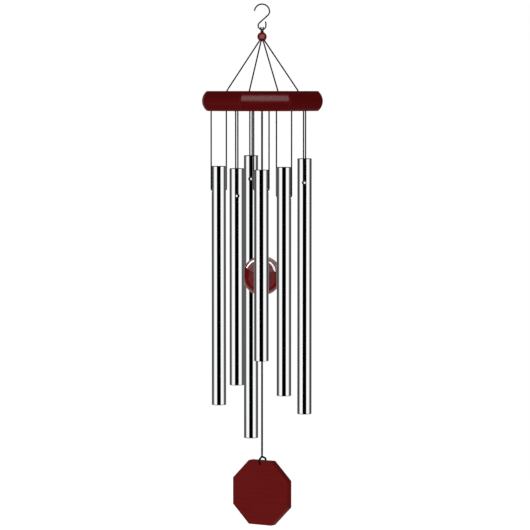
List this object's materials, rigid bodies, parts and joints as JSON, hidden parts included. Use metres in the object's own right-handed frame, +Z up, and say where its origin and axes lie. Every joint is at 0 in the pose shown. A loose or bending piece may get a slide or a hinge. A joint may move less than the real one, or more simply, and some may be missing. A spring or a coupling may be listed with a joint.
{
  "type": "wind chime",
  "caption": "Hanging wind chime: wire S-hook, wooden bead and octagonal top plate on cords, metal tubes on strings, striker ball and octagonal wind sail.",
  "frame": {"origin": "inner crown of the hook's upper bend, where the hook rests on what it hangs from", "axes": "+Z up along the chime; the front faces -Y; the hook's bends lie in the X-Z plane"},
  "size_m": [0.1666, 0.1666, 0.7213],
  "materials": {
    "hook_steel": "polished stainless steel wire",
    "black_cord": "braided black polyester cord",
    "bead_lacquer": "dark red lacquered wood",
    "plate_lacquer": "dark red satin lacquered wood",
    "tube_metal": "polished aluminium",
    "ball_lacquer": "dark red gloss lacquered wood",
    "sail_lacquer": "dark red satin lacquered wood"
  },
  "bodies": {
    "hook": {"s_hook": "hook_steel"},
    "hanger": {"hanger_loops": "black_cord", "hanger_knot": "black_cord"},
    "neck": {"neck_strands": "black_cord"},
    "crown": {"top_bead": "bead_lacquer", "suspension_cord_1": "black_cord", "suspension_cord_2": "black_cord", "suspension_cord_3": "black_cord", "suspension_cord_4": "black_cord", "cord_knots": "black_cord", "top_plate": "plate_lacquer", "string_bridge_1": "black_cord", "string_bridge_2": "black_cord", "string_bridge_3": "black_cord", "string_bridge_4": "black_cord", "string_bridge_5": "black_cord", "string_bridge_6": "black_cord", "striker_anchor": "black_cord"},
    "string_1": {"tube_string_1": "black_cord"},
    "chime_1": {"tube_1": "tube_metal"},
    "string_2": {"tube_string_2": "black_cord"},
    "chime_2": {"tube_2": "tube_metal"},
    "string_3": {"tube_string_3": "black_cord"},
    "chime_3": {"tube_3": "tube_metal"},
    "string_4": {"tube_string_4": "black_cord"},
    "chime_4": {"tube_4": "tube_metal"},
    "string_5": {"tube_string_5": "black_cord"},
    "chime_5": {"tube_5": "tube_metal"},
    "string_6": {"tube_string_6": "black_cord"},
    "chime_6": {"tube_6": "tube_metal"},
    "striker_knot": {"striker_pivot_knot": "black_cord"},
    "striker_line": {"striker_cord": "black_cord"},
    "striker": {"striker_ball": "ball_lacquer"},
    "ball_stop": {"ball_knot": "black_cord"},
    "sail_line": {"sail_cord": "black_cord"},
    "sail_hanger": {"sail_knot": "black_cord", "sail_loop": "black_cord"},
    "sail": {"wind_sail": "sail_lacquer"}
  },
  "joints": [
    {"name": "hanger_swing_front_back", "type": "hinge", "parent": "hook", "child": "hanger", "pos_m": [0, 0, -0.03391], "axis": [1, 0, 0], "range_deg": [-30, 30]},
    {"name": "hanger_swing_sideways", "type": "hinge", "parent": "hanger", "child": "neck", "pos_m": [0, 0, -0.03788], "axis": [0, 1, 0], "range_deg": [-25, 25]},
    {"name": "crown_twist", "type": "hinge", "parent": "neck", "child": "crown", "pos_m": [0, 0, -0.04373], "axis": [0, 0, 1], "range_deg": [-180, 180]},
    {"name": "string_1_swing", "type": "hinge", "parent": "crown", "child": "string_1", "pos_m": [-0.05981, 0.01033, -0.14573], "axis": [-0.9272, -0.3746, 0], "range_deg": [-20, 6.4]},
    {"name": "tube_1_tilt", "type": "hinge", "parent": "string_1", "child": "chime_1", "pos_m": [-0.05981, 0.01033, -0.25533], "axis": [0.9272, 0.3746, 0], "range_deg": [-9.4, 20]},
    {"name": "string_2_swing", "type": "hinge", "parent": "crown", "child": "string_2", "pos_m": [-0.03438, -0.05002, -0.14573], "axis": [0.1392, -0.9903, 0], "range_deg": [-20, 2.9]},
    {"name": "tube_2_tilt", "type": "hinge", "parent": "string_2", "child": "chime_2", "pos_m": [-0.03438, -0.05002, -0.25913], "axis": [-0.1392, 0.9903, 0], "range_deg": [-4.5, 20]},
    {"name": "string_3_swing", "type": "hinge", "parent": "crown", "child": "string_3", "pos_m": [-0.01551, 0.05869, -0.14573], "axis": [0.1392, 0.9903, 0], "range_deg": [-20, 20]},
    {"name": "tube_3_tilt", "type": "hinge", "parent": "string_3", "child": "chime_3", "pos_m": [-0.01551, 0.05869, -0.23913], "axis": [-0.1392, -0.9903, 0], "range_deg": [-20, 20]},
    {"name": "string_4_swing", "type": "hinge", "parent": "crown", "child": "string_4", "pos_m": [-0.00085, -0.06069, -0.14573], "axis": [0.9272, -0.3746, 0], "range_deg": [-20, 6.1]},
    {"name": "tube_4_tilt", "type": "hinge", "parent": "string_4", "child": "chime_4", "pos_m": [-0.00085, -0.06069, -0.25323], "axis": [-0.9272, 0.3746, 0], "range_deg": [-12, 20]},
    {"name": "string_5_swing", "type": "hinge", "parent": "crown", "child": "string_5", "pos_m": [0.02998, -0.05278, -0.14573], "axis": [0.9135, -0.4067, 0], "range_deg": [-20, 7.3]},
    {"name": "tube_5_tilt", "type": "hinge", "parent": "string_5", "child": "chime_5", "pos_m": [0.02998, -0.05278, -0.26233], "axis": [-0.9135, 0.4067, 0], "range_deg": [-10.8, 20]},
    {"name": "string_6_swing", "type": "hinge", "parent": "crown", "child": "string_6", "pos_m": [0.05885, 0.01489, -0.14573], "axis": [-0.1392, -0.9903, 0], "range_deg": [-6.2, 20]},
    {"name": "tube_6_tilt", "type": "hinge", "parent": "string_6", "child": "chime_6", "pos_m": [0.05885, 0.01489, -0.24313], "axis": [0.1392, 0.9903, 0], "range_deg": [-20, 11]},
    {"name": "striker_swing_front_back", "type": "hinge", "parent": "crown", "child": "striker_knot", "pos_m": [0, 0, -0.14543], "axis": [1, 0, 0], "range_deg": [-5.5, 5.5]},
    {"name": "striker_swing_sideways", "type": "hinge", "parent": "striker_knot", "child": "striker_line", "pos_m": [0, 0, -0.14543], "axis": [0, -1, 0], "range_deg": [-5.5, 5.5]},
    {"name": "ball_spin", "type": "hinge", "parent": "striker_line", "child": "striker", "pos_m": [0, 0, -0.37313], "axis": [0, 0, 1], "continuous": true},
    {"name": "sail_swing_front_back", "type": "hinge", "parent": "striker_line", "child": "ball_stop", "pos_m": [0, 0, -0.40313], "axis": [1, 0, 0], "range_deg": [-15, 15]},
    {"name": "sail_swing_sideways", "type": "hinge", "parent": "ball_stop", "child": "sail_line", "pos_m": [0, 0, -0.40313], "axis": [0, -1, 0], "range_deg": [-15, 15]},
    {"name": "sail_twist", "type": "hinge", "parent": "sail_line", "child": "sail_hanger", "pos_m": [0, 0, -0.62453], "axis": [0, 0, 1], "continuous": true},
    {"name": "sail_rock", "type": "hinge", "parent": "sail_hanger", "child": "sail", "pos_m": [0, 0, -0.63413], "axis": [-0.5373, -0.8434, 0], "range_deg": [-20, 20]}
  ]
}
